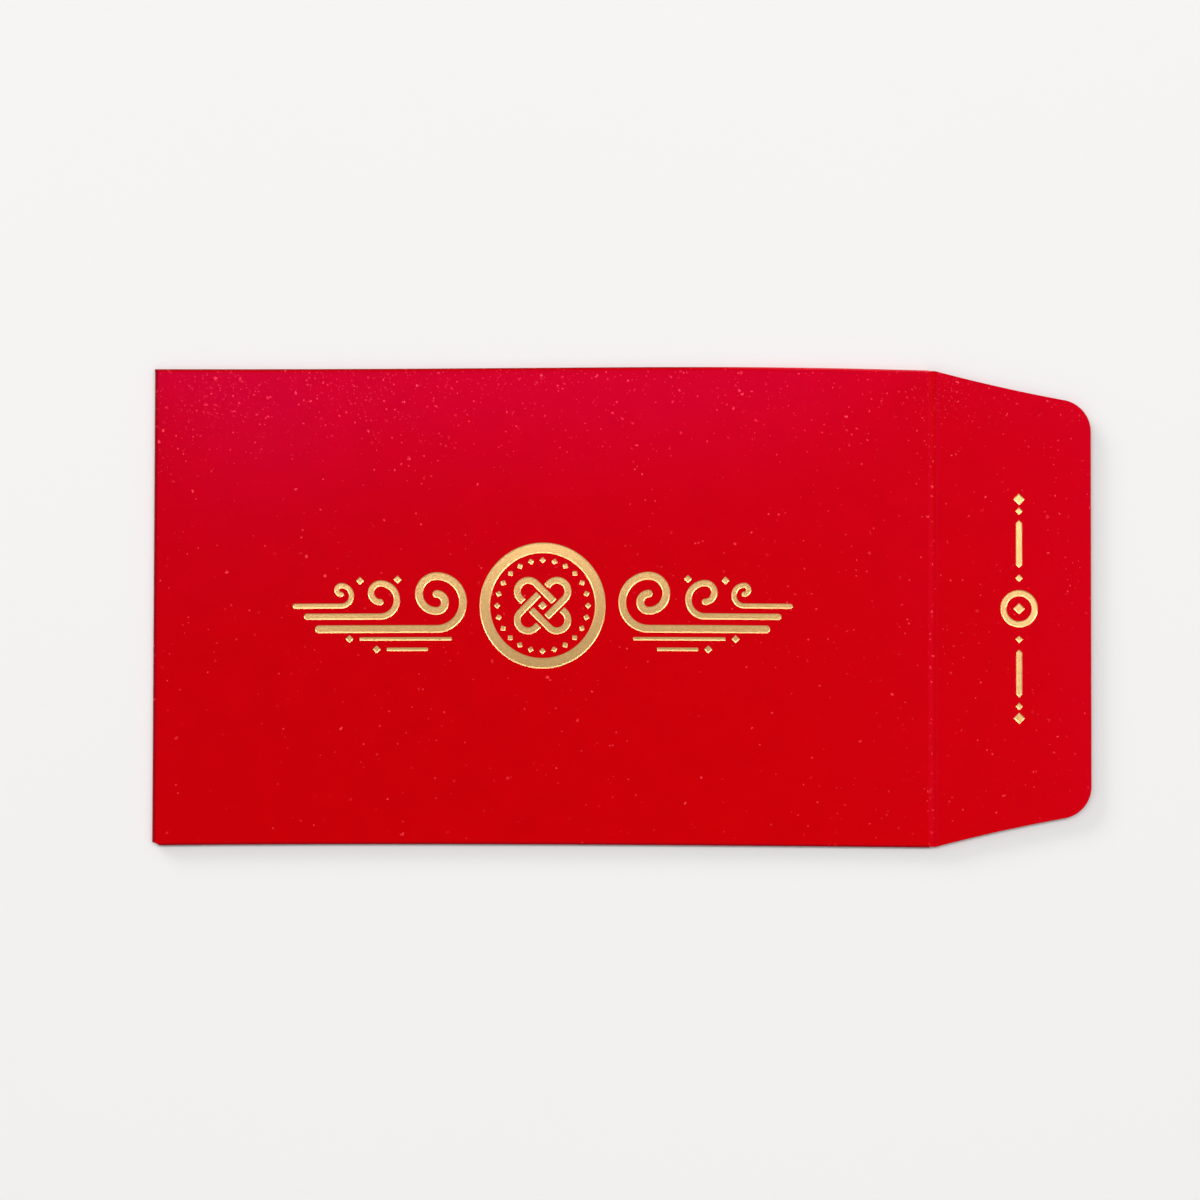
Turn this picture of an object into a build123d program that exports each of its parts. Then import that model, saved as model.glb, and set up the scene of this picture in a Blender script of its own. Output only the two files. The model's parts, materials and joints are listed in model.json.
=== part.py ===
from build123d import *
import math
import os

# Red paper envelope lying face up with its closing flap open.
# X runs along the envelope towards the flap, Y across it, and Z up from the table it lies on.
# Lengths are in millimetres and angles in degrees.

# Card and pocket
body_length = 165.0  # bottom fold to the middle of the flap crease
body_width = 101.0  # between the two folded long edges
card_thickness = 0.3
glue_thickness = 0.05
pocket_gap = 0.5  # clear height of the empty pocket above the seam tab

# Closing flap and its crease
flap_depth = 33.4  # middle of the crease to the free edge
flap_root_inset = 0.2  # folded long edge to the side of the flap at the crease
flap_side_slant = 7.1  # how far each side comes in over the flap's depth
flap_side_hollow = 0.4  # how far the slanting sides curve inwards
flap_corner_radius = 6.8
crease_width = 1.0
shut_clearance = 0.05  # between the shut flap and the back panel

# Mouth, corner nick and back panel
mouth_clearance = 0.3  # from the crease to the edges of the mouth behind it
nick_along = 1.7  # open corner, measured along the seam fold
nick_across = 1.25  # open corner, measured along the bottom fold
back_reveal = 1.0  # free edge of the back panel to the seam fold's outside

# Tabs and their glue lines
seam_tab_width = 13.0
seam_tab_slope = 7.0  # how far each end slants along the tab
bottom_tab_depth = 22.0
bottom_tab_slope = 8.0  # how far each side slants across the tab
bottom_tab_corner_radius = 4.0
seam_glue_width = 6.0
bottom_glue_width = 7.0
glue_margin = 4.0  # bare card between a glue line and the tab's edge

# Stamped foil
stamp_depth = 0.1
foil_thickness = 0.04
foil_clearance = 0.02  # film to the wall of its recess
cut_overrun = 1.0  # how far a cutter stands out of the card

# Round ornament in the middle of the front
ring_radius = 12.2  # middle of the band
ring_stroke = 2.2
ring_lozenge_count = 24
ring_lozenge_side = 0.95
ring_lozenge_circle_radius = 9.6
knot_stroke = 1.4
knot_loop_radius = 2.3
knot_reach = 6.6  # centre of the knot to the far middle line of a loop
knot_break = 0.5  # bare card on each side of a strand that passes over
knot_lozenge_side = 1.3

# Cloud curls on both sides of the round ornament
cloud_gap = 3.0  # ring to the cloud
cloud_length = 36.0
cloud_height = 14.0
cloud_stroke = 1.6
cloud_turn_gap = 2.2  # bare card between the turns of the largest curl
cloud_lozenge_side = 1.2
curl_middle_shares = {"large": 0.17, "medium": 0.50, "small": 0.73}  # of the cloud's length
curl_tail_shares = {"large": 0.86, "medium": 0.93, "small": 1.0}  # of the cloud's length
curl_base_shares = {"large": -0.35, "medium": -0.16, "small": 0.0}  # of the cloud's height
curl_radius_shares = {"large": 0.40, "medium": 0.25, "small": 0.155}  # of the cloud's height
curl_stroke_shares = {"large": 1.0, "medium": 0.8, "small": 0.65}  # of the largest stroke
curl_end_share = 0.75  # a curl stops when its radius comes down to this part of its stroke

# Fine lines below each cloud and lozenges around it
fine_stroke = 0.7
fine_line_drop = 7.0  # first fine line below the middle of the ornament
fine_line_pitch = 2.2
fine_line_shares = ((0.08, 0.62), (0.22, 0.46))  # both ends of each, along the cloud
fine_lozenge_shares = (0.68, 0.52)  # lozenge at the end of each fine line, along the cloud
cloud_lozenge_shares = ((0.40, 0.40), (0.62, 0.38))  # along and up the cloud

# Ornament down the middle of the flap
flap_ornament_offset = 18.2  # middle of the crease to the ornament
flap_ornament_length = 48.0
flap_stroke = 1.25
flap_ring_radius = 3.3
flap_lozenge_side = 1.7
flap_spacer_side = 1.1
flap_bar_shares = (0.18, 0.39)  # both ends of a bar, from the middle of the ornament
flap_spacer_shares = (0.135, 0.43)
flap_lozenge_share = 0.482

# Layers from the table up
bottom_glue_z = card_thickness
back_z = bottom_glue_z + glue_thickness
seam_glue_z = back_z + card_thickness
seam_tab_z = seam_glue_z + glue_thickness
front_z = seam_tab_z + card_thickness + pocket_gap
front_top = front_z + card_thickness
stamp_z = front_top - stamp_depth

# Outside radius of each fold: half the height that it turns through
bottom_radius = front_top / 2
back_radius = (front_top - back_z) / 2
seam_radius = (front_top - seam_tab_z) / 2

# Places along and across the envelope
left_x = -(body_length + flap_depth) / 2
crease_x = left_x + body_length
flap_root_x = crease_x + crease_width / 2
flap_end_x = crease_x + flap_depth
front_end_x = crease_x - crease_width / 2
mouth_x = front_end_x - mouth_clearance
bottom_line_x = left_x + bottom_radius
upper_y = body_width / 2
lower_y = -upper_y
upper_line_y = upper_y - back_radius
lower_line_y = lower_y + seam_radius
flap_root_y = upper_y - flap_root_inset
flap_end_y = flap_root_y - flap_side_slant
ornament_x = (left_x + crease_x) / 2
flap_ornament_x = crease_x + flap_ornament_offset

# The flap turns about this height, half way between its open and its shut place
fold_axis_z = (front_z + back_z - shut_clearance) / 2
crease_radius = math.hypot(crease_width / 2, front_top - fold_axis_z)

half_turn = 180
quarter_turn = half_turn / 2
eighth_turn = quarter_turn / 2


def plate(outline, z, thickness):
    """Flat piece of an outline, standing on height z."""
    return extrude(Pos(0, 0, z) * outline, thickness)


def span(x0, x1, y0, y1):
    """Rectangle between two corners."""
    return Pos((x0 + x1) / 2, (y0 + y1) / 2) * Rectangle(x1 - x0, y1 - y0)


def rounded_outline(edges, radius):
    """Face inside a loop of edges, with its two corners furthest along X rounded."""
    face = make_face(edges)
    return fillet(face.vertices().sort_by(Axis.X)[-2:], radius)


def fold_section(radius):
    """Half ring of card that bulges towards -X of its own plane."""
    ring = Circle(radius) - Circle(radius - card_thickness)
    return ring - Pos(radius, 0) * Rectangle(2 * radius, 2 * radius)


def long_fold(radius, line_y, x0, turn):
    """Fold along X from x0 to the mouth, below the front panel's edge at line_y."""
    plane = Plane.YZ.offset(x0)
    section = plane * Pos(line_y, front_top - radius) * Rot(0, 0, turn) * fold_section(radius)
    return extrude(section, mouth_x - x0)


def bottom_fold():
    """Fold along Y at the short edge, between the upper fold and the open corner."""
    plane = Plane.XZ.offset(-upper_line_y)
    section = plane * Pos(bottom_line_x, front_top - bottom_radius) * fold_section(bottom_radius)
    return extrude(section, upper_line_y - lower_y - nick_across)


def seam_tab_outline():
    """Narrow tab with slanting ends, from the seam fold inwards."""
    start_x = left_x + nick_along
    tab_y = lower_y + seam_tab_width
    return make_face(
        Polyline(
            (start_x, lower_line_y),
            (mouth_x, lower_line_y),
            (mouth_x - seam_tab_slope, tab_y),
            (start_x + seam_tab_slope, tab_y),
            close=True,
        )
    )


def bottom_tab_outline():
    """Tab with slanting sides and two round corners, from the bottom fold inwards."""
    tab_x = left_x + bottom_tab_depth
    start_y = lower_y + nick_across
    loop = Polyline(
        (bottom_line_x, start_y),
        (tab_x, start_y + bottom_tab_slope),
        (tab_x, upper_line_y - bottom_tab_slope),
        (bottom_line_x, upper_line_y),
        close=True,
    )
    return rounded_outline(loop, bottom_tab_corner_radius)


def seam_glue():
    """Glue line along the seam tab, clear of its slanting ends."""
    start_x = left_x + nick_along + seam_tab_slope + glue_margin
    end_x = mouth_x - seam_tab_slope - glue_margin
    line_y = (lower_line_y + lower_y + seam_tab_width) / 2
    line = Pos((start_x + end_x) / 2, line_y) * SlotOverall(end_x - start_x, seam_glue_width)
    return plate(line, seam_glue_z, glue_thickness)


def bottom_glue():
    """Glue line along the bottom tab, near its free edge."""
    line_x = left_x + bottom_tab_depth - glue_margin - bottom_glue_width / 2
    start_y = lower_y + nick_across + bottom_tab_slope + glue_margin
    end_y = upper_line_y - bottom_tab_slope - glue_margin
    slot = SlotOverall(end_y - start_y, bottom_glue_width)
    line = Pos(line_x, (start_y + end_y) / 2) * Rot(0, 0, quarter_turn) * slot
    return plate(line, bottom_glue_z, glue_thickness)


def flap_crease():
    """Strip between front and flap, raised in a low arch about the line it bends on."""
    ring = Circle(crease_radius) - Circle(crease_radius - card_thickness)
    arch = ring & Pos(0, crease_radius) * Rectangle(crease_width, 2 * crease_radius)
    section = Plane.XZ.offset(-flap_root_y) * Pos(crease_x, fold_axis_z) * arch
    return extrude(section, 2 * flap_root_y)


def flap_outline():
    """Flap that narrows along two hollow sides to a straight edge with round corners."""
    roots = [(flap_root_x, -flap_root_y), (flap_root_x, flap_root_y)]
    ends = [(flap_end_x, -flap_end_y), (flap_end_x, flap_end_y)]
    lower_side = SagittaArc(roots[0], ends[0], flap_side_hollow)
    upper_side = SagittaArc(ends[1], roots[1], flap_side_hollow)
    loop = [lower_side, Line(*ends), upper_side, Line(*reversed(roots))]
    return rounded_outline(loop, flap_corner_radius)


def band(edges, width):
    """Band of a width along joined edges, with round ends."""
    return make_face(Wire(edges).offset_2d(width / 2).edges())


def ring_band(radius, width):
    """Closed round band about the origin."""
    return Circle(radius + width / 2) - Circle(radius - width / 2)


def lozenge(x, y, side):
    """Square spot of foil standing on its corner."""
    return Pos(x, y) * Rot(0, 0, eighth_turn) * Rectangle(side, side)


def knot():
    """Two long loops laced through each other at right angles, in four strands."""
    end_x = knot_loop_radius + knot_stroke / 2 + knot_break
    turn_x = knot_reach - knot_loop_radius
    far_x = end_x - 2 * knot_loop_radius
    turn = Pos(turn_x, 0) * ring_band(knot_loop_radius, knot_stroke)
    turn &= span(turn_x, knot_reach + knot_stroke, -knot_reach, knot_reach)
    near = Pos((end_x + turn_x) / 2, knot_loop_radius) * Rectangle(turn_x - end_x, knot_stroke)
    far = Pos((far_x + turn_x) / 2, -knot_loop_radius) * Rectangle(turn_x - far_x, knot_stroke)
    strand = turn + near + far
    strands = [Rot(0, 0, eighth_turn + quarter_turn * side) * strand for side in range(4)]
    return Sketch() + strands + lozenge(0, 0, knot_lozenge_side)


def along_cloud(share):
    """Distance from the middle of the ornament to a share of the cloud's length."""
    return ring_radius + ring_stroke / 2 + cloud_gap + cloud_length * share


def curl(size):
    """Cloud curl: a tail that runs in along a base line and winds up in half circles."""
    stroke = cloud_stroke * curl_stroke_shares[size]
    step = (cloud_stroke + cloud_turn_gap) * curl_stroke_shares[size] / 2
    radius = cloud_height * curl_radius_shares[size]
    base_y = cloud_height * curl_base_shares[size]
    tail = (along_cloud(curl_tail_shares[size]), base_y)
    edges = [Line(tail, (along_cloud(curl_middle_shares[size]), base_y))]
    while radius > stroke * curl_end_share:
        edges.append(JernArc(edges[-1] @ 1, edges[-1] % 1, radius, -half_turn))
        radius -= step
    return band(edges, stroke)


def fine_lines():
    """Fine lines under a cloud, a lozenge at the end of each, and lozenges above the cloud."""
    shape = Sketch()
    for row, ends in enumerate(fine_line_shares):
        line_y = -fine_line_drop - fine_line_pitch * row
        x0, x1 = [along_cloud(share) for share in ends]
        shape += span(x0, x1, line_y - fine_stroke / 2, line_y + fine_stroke / 2)
        shape += lozenge(along_cloud(fine_lozenge_shares[row]), line_y, cloud_lozenge_side)
    for along, up in cloud_lozenge_shares:
        shape += lozenge(along_cloud(along), cloud_height * up, cloud_lozenge_side)
    return shape


def flap_bars():
    """Two bars with pointed ends, above and below the flap's ring."""
    y0, y1 = [flap_ornament_length * share for share in flap_bar_shares]
    half = flap_stroke / 2
    right = [(0, y0), (half, y0 + half), (half, y1 - half), (0, y1)]
    left = [(-half, y1 - half), (-half, y0 + half)]
    bar = Polygon(*right, *left)
    return Sketch() + [bar, mirror(bar, about=Plane.XZ)]


def flap_lozenges():
    """Lozenge in the ring, one at each end of the ornament, and small ones beside the bars."""
    end_y = flap_ornament_length * flap_lozenge_share
    shape = Sketch() + [lozenge(0, y, flap_lozenge_side) for y in (-end_y, 0, end_y)]
    for share in flap_spacer_shares:
        y = flap_ornament_length * share
        shape += [lozenge(0, -y, flap_spacer_side), lozenge(0, y, flap_spacer_side)]
    return shape


def front_motifs():
    """Shape of each foil on the front by name, about the middle of the ornament."""
    places = PolarLocations(ring_lozenge_circle_radius, ring_lozenge_count)
    spot = lozenge(0, 0, ring_lozenge_side)
    motifs = {
        "foil_ring": ring_band(ring_radius, ring_stroke),
        "foil_ring_lozenges": Sketch() + [place * spot for place in places],
        "foil_knot": knot(),
    }
    right_side = {f"cloud_{size}": curl(size) for size in curl_middle_shares}
    right_side["lines"] = fine_lines()
    for name, shape in right_side.items():
        motifs[f"foil_right_{name}"] = shape
        motifs[f"foil_left_{name}"] = mirror(shape, about=Plane.YZ)
    return motifs


def flap_motifs():
    """Shape of each foil on the flap by name, about the middle of its ornament."""
    return {
        "foil_flap_ring": ring_band(flap_ring_radius, flap_stroke),
        "foil_flap_bars": flap_bars(),
        "foil_flap_lozenges": flap_lozenges(),
    }


def stamp(card, motifs, x):
    """Press motifs centred on x into a card's upper face, and return the card and its films."""
    films = {}
    for name, motif in motifs.items():
        shape = Pos(x, 0) * motif
        card -= plate(shape, stamp_z, stamp_depth + cut_overrun)
        film = offset(shape, -foil_clearance, kind=Kind.INTERSECTION)
        films[name] = plate(film, stamp_z, foil_thickness)
    return card, films


def envelope():
    """Every piece of the envelope by name."""
    front_outline = span(bottom_line_x, front_end_x, lower_line_y, upper_line_y)
    back_outline = span(bottom_line_x, mouth_x, lower_y + back_reveal, upper_line_y)
    front, front_films = stamp(plate(front_outline, front_z, card_thickness), front_motifs(), ornament_x)
    flap, flap_films = stamp(plate(flap_outline(), front_z, card_thickness), flap_motifs(), flap_ornament_x)
    return {
        "front_panel": front,
        "back_panel": plate(back_outline, back_z, card_thickness),
        "back_fold": long_fold(back_radius, upper_line_y, left_x, half_turn),
        "seam_fold": long_fold(seam_radius, lower_line_y, left_x + nick_along, 0),
        "seam_tab": plate(seam_tab_outline(), seam_tab_z, card_thickness),
        "seam_glue": seam_glue(),
        "bottom_fold": bottom_fold(),
        "bottom_tab": plate(bottom_tab_outline(), 0, card_thickness),
        "bottom_glue": bottom_glue(),
        "flap_crease": flap_crease(),
        "closing_flap": flap,
        **front_films,
        **flap_films,
    }


os.makedirs("parts", exist_ok=True)
for node, solid in envelope().items():
    export_step(solid, f"parts/{node}.step")
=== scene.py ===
import json
import math

import bmesh
import bpy
import numpy as np
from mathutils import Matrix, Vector
from mathutils.geometry import delaunay_2d_cdt


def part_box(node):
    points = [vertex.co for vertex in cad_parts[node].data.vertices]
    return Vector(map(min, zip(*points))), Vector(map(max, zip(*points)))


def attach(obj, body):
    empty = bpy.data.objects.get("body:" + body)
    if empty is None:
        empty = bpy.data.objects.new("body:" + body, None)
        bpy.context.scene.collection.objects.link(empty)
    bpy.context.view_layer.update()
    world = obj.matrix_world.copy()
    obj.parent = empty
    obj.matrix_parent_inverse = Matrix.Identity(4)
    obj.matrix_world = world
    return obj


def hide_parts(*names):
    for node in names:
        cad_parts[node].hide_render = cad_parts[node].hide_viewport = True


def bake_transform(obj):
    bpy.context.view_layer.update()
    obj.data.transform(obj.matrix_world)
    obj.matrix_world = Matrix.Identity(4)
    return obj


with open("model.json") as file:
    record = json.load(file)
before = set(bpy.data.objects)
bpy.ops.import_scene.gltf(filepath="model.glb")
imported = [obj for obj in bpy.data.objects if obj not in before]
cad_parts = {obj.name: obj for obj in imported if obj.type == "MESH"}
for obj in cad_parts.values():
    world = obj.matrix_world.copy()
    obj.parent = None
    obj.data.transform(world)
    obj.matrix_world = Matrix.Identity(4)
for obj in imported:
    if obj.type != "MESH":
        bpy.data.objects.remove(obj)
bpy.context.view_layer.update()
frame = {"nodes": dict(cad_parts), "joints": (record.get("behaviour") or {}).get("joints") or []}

mm = 0.001  # meshes are worked out in millimetres and written in metres
uvPerMm = 0.01  # one unit of the sheet's own UV map is 100 mm of card


# Places read from the frame

def nodeBox(name):  # lowest and highest corner of a CAD node, in millimetres
    low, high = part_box(name)
    return np.array(low) / mm, np.array(high) / mm


frontLow, frontHigh = nodeBox("front_panel")
flapLow, flapHigh = nodeBox("closing_flap")
backFoldLow, backFoldHigh = nodeBox("back_fold")
seamFoldLow = nodeBox("seam_fold")[0]
bottomFoldLow = nodeBox("bottom_fold")[0]
creaseHigh = nodeBox("flap_crease")[1]
mouthX = nodeBox("back_panel")[1][0]  # the pocket's open end
creaseX, _, axisZ = np.array(frame["joints"][0]["pos_m"]) / mm
creaseEnd = 2 * creaseX - mouthX  # the crease bends as far beyond its axis as before it
sheetZ = frontHigh[2]  # upper face of the front
cardThickness = frontHigh[2] - frontLow[2]
print("frame read: card", round(cardThickness, 3), "mm thick, crease at x", round(creaseX, 2), "mm")


# Form of the whole sheet

sheet = dict(
    crownHeight=0.8,  # rise of the empty pocket's middle
    bowUpper=0.66,  # sideways bow of the upper long edge
    bowLower=0.44,  # the same at the lower long edge
    leanUpper=2.1,  # above 1 the bow is widest nearer the flap
    leanLower=0.8,
    ridgeHalf=0.8,  # half width of the opened crease's ridge
    ridgeHeight=0.09,
    cornerTrim=0.15,  # the upper fold stops short by this at its top
    nickRise=0.8,  # height of the nick at the lower corner
    edgeRound=0.04,  # rounding of a die-cut edge
    edgeSteps=3,
    foldSteps=16,
    foldStart=0.02,  # first angle of a fold, small so that the panel's shading stays flat
    rows=44,  # points across the sheet
    columns=64,  # points along the sheet
    creaseColumns=17,
    fillPitch=4.0,  # spacing of the points inside the flat fields
    fillClear=0.7,  # and their least distance from a line
)


def shareOf(value, start, end):  # 0 at start, 1 at end, held outside
    return np.clip((value - start) / (end - start), 0.0, 1.0)


def sheetTop(flat):  # flat height, a crown of half sines, fuller lengthwise, a squared cosine at the crease
    x, y = flat[..., 0], flat[..., 1]
    along = 1 - (1 - np.sin(np.pi * shareOf(x, frontLow[0], mouthX))) ** 2
    across = np.sin(np.pi * shareOf(y, frontLow[1], frontHigh[1]))
    near = np.clip((x - creaseX) / sheet["ridgeHalf"], -1.0, 1.0)
    ridge = sheet["ridgeHeight"] * np.cos(np.pi * near / 2) ** 2
    return sheetZ + sheet["crownHeight"] * along * across + ridge


def bowed(points):  # moves points across by a half sine along each long edge, blended from lower to upper
    along = shareOf(points[:, 0], bottomFoldLow[0], mouthX)
    across = shareOf(points[:, 1], seamFoldLow[1], backFoldHigh[1])
    lower = sheet["bowLower"] * np.sin(np.pi * along ** sheet["leanLower"])
    upper = sheet["bowUpper"] * np.sin(np.pi * along ** sheet["leanUpper"])
    moved = points.copy()
    moved[:, 1] += lower + (upper - lower) * across
    return moved


def raised(flat, heights):  # points on the plane with a height each
    return np.concatenate([flat, np.broadcast_to(heights, flat.shape[:-1])[..., None]], axis=-1)


def onSheet(flat, lift=0.0):  # points on the sheet's upper face, or lifted off it
    return raised(flat, sheetTop(flat) + lift)


def edgeProfile():  # inset and drop from the upper to the lower face, with a quarter circle at both
    turn = np.linspace(0.0, np.pi / 2, sheet["edgeSteps"] + 1)
    inset = sheet["edgeRound"] * (1 - np.sin(turn))
    drop = sheet["edgeRound"] * (1 - np.cos(turn))
    return np.concatenate([inset, inset[::-1]]), np.concatenate([drop, cardThickness - drop[::-1]])


edgeInset, edgeDrop = edgeProfile()


# Lines and directions in the plane

def linePoints(x, y):  # points of a straight line along X or Y
    return np.stack(np.broadcast_arrays(np.asarray(x, float), np.asarray(y, float)), axis=-1)


def spokes(angles):  # directions of length 1 at these angles
    return np.stack([np.cos(angles), np.sin(angles)], axis=-1)


def unit(vectors):  # the same directions at length 1
    return vectors / np.linalg.norm(vectors, axis=1)[:, None]


def rightOf(headings):  # each heading turned clockwise by a quarter
    return np.stack([headings[..., 1], -headings[..., 0]], axis=-1)


# Mesh helpers

meshing = dict(
    mergeReach=2e-7,  # points nearer than this many metres become one
    sharpAngle=48.0,  # shading breaks where faces turn by more degrees
    fieldReach=1e-6,  # tolerance of the triangles in a flat field
)


def gridFaces(rows, columns, closed=False):  # quads between the rows and columns of a grid of points
    index = np.arange(rows * columns).reshape(rows, columns)
    right = np.roll(index, -1, axis=1)
    if not closed:
        index, right = index[:, :-1], right[:, :-1]
    return np.stack([index[:-1], right[:-1], right[1:], index[1:]], axis=-1).reshape(-1, 4)


def newShell():  # patches of one piece, put together by buildPiece
    return dict(points=[], uv=[], faces=[], slots=[], count=0)


def addPatch(shell, points, faces, slot=0, uv=None):  # points of any grid shape, faces that count from zero
    flat = points.reshape(-1, 3)
    shell["points"].append(flat)
    shell["uv"].append(flat[:, :2] if uv is None else uv.reshape(-1, 2))
    shell["faces"] += [[int(i) + shell["count"] for i in face] for face in faces]
    shell["slots"] += [slot] * len(faces)
    shell["count"] += len(flat)


def addGrid(shell, points, slot=0, uv=None, closed=False):  # grid of rows and columns of points
    addPatch(shell, points, gridFaces(*points.shape[:2], closed), slot, uv)


def readAll(items, key, kind):  # one value of every item of a mesh
    values = np.zeros(len(items), dtype=kind)
    items.foreach_get(key, values)
    return values


def markSharp(mesh):  # sharp where the faces turn by more than the angle, or where skin meets a cut edge
    mesh.set_sharp_from_angle(angle=math.radians(meshing["sharpAngle"]))
    sharp = readAll(mesh.edges, "use_edge_sharp", bool)
    slots = readAll(mesh.polygons, "material_index", np.int32)
    slots = np.repeat(slots, readAll(mesh.polygons, "loop_total", np.int32))
    sides = readAll(mesh.loops, "edge_index", np.int32)
    cutSides = np.bincount(sides, weights=slots, minlength=len(mesh.edges))
    mesh.edges.foreach_set("use_edge_sharp", sharp | (cutSides == 1))


def addObject(name, data):  # object at the origin, in the scene
    made = bpy.data.objects.new(name, data)
    bpy.context.scene.collection.objects.link(made)
    return made


def buildPiece(name, shell, materials):  # one closed mesh, bowed with the sheet, doubles merged
    points = bowed(np.concatenate(shell["points"])) * mm
    mesh = bpy.data.meshes.new(name)
    mesh.from_pydata(points.tolist(), [], shell["faces"])
    uv = np.concatenate(shell["uv"])[readAll(mesh.loops, "vertex_index", np.int32)] * uvPerMm
    mesh.uv_layers.new(name="Sheet").data.foreach_set("uv", uv.astype(np.float32).ravel())
    mesh.polygons.foreach_set("material_index", np.array(shell["slots"], dtype=np.int32))
    work = bmesh.new()
    work.from_mesh(mesh)
    bmesh.ops.remove_doubles(work, verts=work.verts, dist=meshing["mergeReach"])
    bmesh.ops.recalc_face_normals(work, faces=work.faces)
    openEdges = sum(len(edge.link_faces) != 2 for edge in work.edges)
    work.to_mesh(mesh)
    work.free()
    mesh.shade_smooth()
    markSharp(mesh)
    for material in materials:
        mesh.materials.append(material)
    piece = addObject(name, mesh)
    print("piece", name, len(mesh.polygons), "faces,", openEdges, "open edges")
    return piece


def signedArea(loop):  # half the sum of the cross products along the loop
    ahead = np.roll(loop, -1, axis=0)
    return 0.5 * np.sum(loop[:, 0] * ahead[:, 1] - loop[:, 1] * ahead[:, 0])


def fillField(border, holes=()):  # triangles inside a border and outside its holes, over a loose point grid
    loops = [loop if signedArea(loop) > 0 else loop[::-1] for loop in [border, *holes]]
    lines = np.concatenate(loops)
    low, high, pitch = border.min(axis=0), border.max(axis=0), sheet["fillPitch"]
    axes = [np.arange(low[k] + pitch / 2, high[k], pitch) for k in range(2)]
    spots = np.stack(np.meshgrid(*axes), axis=-1).reshape(-1, 2)
    gaps = np.sqrt(((spots[:, None] - lines[None]) ** 2).sum(axis=-1)).min(axis=1)
    points = np.concatenate([lines, spots[gaps > sheet["fillClear"]]])
    starts = np.cumsum([0] + [len(loop) for loop in loops])
    faces = [list(range(a, b)) for a, b in zip(starts[:-1], starts[1:])]
    made = delaunay_2d_cdt([Vector(p) for p in points], [], faces, 1, meshing["fieldReach"], True)
    source = [ids[0] for ids in made[3]]
    # Inside the border, a field in an even number of holes is card, in an odd number a stamp
    kept = [face for face, ids in zip(made[2], made[5]) if 0 in ids and len(set(ids)) % 2 == 1]
    return points, [[source[i] for i in face] for face in kept]


# Outlines of stamped strokes and cut tabs

stamp = dict(
    depth=0.09,
    lip=0.08,  # red shoulder outside the foil
    rim=0.06,  # flat ring round the shoulder
    floorRim=0.03,  # and another inside the slope, for flat shading
    wall=0.18,  # how far the slope reaches in from the foil's edge
    wallShare=0.6,  # and at most this part of half the stroke
    steps=8,
    filmThickness=0.018,
    filmFeather=0.25,  # part of its slope over which the film thickens from nothing
    filmGap=0.002,  # film to the card below it
    corner=0.14,  # rounding of the die's corners
    leastCorner=0.012,  # so that no face at a corner collapses
    cornerSteps=5, plainEndSteps=5, roundEndSteps=9,
    pitch=2.0,  # spacing of points along the straights of a spot
)


def roundedLoop(corners, radii, grow=0.0):  # convex corners turned by arcs, moved outwards by grow
    normalOut = rightOf(unit(np.roll(corners, -1, axis=0) - corners))
    normalIn = np.roll(normalOut, 1, axis=0)
    radius = np.maximum(np.broadcast_to(radii, len(corners)) + grow, stamp["leastCorner"])
    lean = (normalIn + normalOut) / (1 + (normalIn * normalOut).sum(axis=1))[:, None]
    centres = corners - lean * (radius - grow)[:, None]
    first = np.arctan2(normalIn[:, 1], normalIn[:, 0])
    turn = np.arctan2(normalOut[:, 1], normalOut[:, 0]) - first
    angles = first[:, None] + np.mod(turn, 2 * np.pi)[:, None] * np.linspace(0, 1, stamp["cornerSteps"])
    return (centres[:, None] + radius[:, None, None] * spokes(angles)).reshape(-1, 2)


def dividedLoops(loops, pitch):  # extra points on the long straights, on every loop as many as on the first
    length = np.linalg.norm(np.roll(loops[0], -1, axis=0) - loops[0], axis=1)
    parts = np.maximum(1, np.round(length / pitch).astype(int))
    index = np.repeat(np.arange(len(parts)), parts)
    share = (np.arange(len(index)) - np.repeat(np.cumsum(parts) - parts, parts)) / parts[index]
    ahead = np.roll(loops, -1, axis=1)
    return np.stack(loops)[:, index] * (1 - share)[:, None] + ahead[:, index] * share[:, None]


def strokeEnd(point, heading, half, reach, radius, steps):  # two quarter arcs round an end, left to right
    left = -rightOf(heading)
    turn = np.linspace(0, np.pi / 2, steps)[:, None]
    middle, side = point + heading * (reach - radius), left * (half - radius)
    return np.concatenate([
        middle + side + radius * (np.cos(turn) * left + np.sin(turn) * heading),
        middle - side + radius * (np.cos(turn) * heading - np.sin(turn) * left),
    ])


def strokeLoop(shape, grow):  # left side, far end, right side backwards and near end of a stroke
    path, normals, half = shape["path"], shape["normals"], shape["half"] + grow
    reach = half if shape["round"] else grow
    radius = half if shape["round"] else max(stamp["corner"] + grow, stamp["leastCorner"])
    return np.concatenate([
        (path + half * normals)[1:-1],
        strokeEnd(path[-1], rightOf(normals[-1]), half, reach, radius, shape["endSteps"]),
        (path - half * normals)[::-1][1:-1],
        strokeEnd(path[0], -rightOf(normals[0]), half, reach, radius, shape["endSteps"]),
    ])


def strokeFloor(shape):  # quads between both sides of a stroke, and one face at each end
    inner, cap = len(shape["path"]) - 2, 2 * shape["endSteps"]
    left = np.arange(inner)
    right = inner + cap + np.arange(inner)[::-1]
    sides = np.stack([left[:-1], left[1:], right[1:], right[:-1]], axis=-1)
    farEnd = [left[-1], *range(inner, inner + cap), right[-1]]
    nearEnd = [right[0], *range(2 * inner + cap, 2 * inner + 2 * cap), left[0]]
    return [*sides.tolist(), farEnd, nearEnd]


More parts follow.
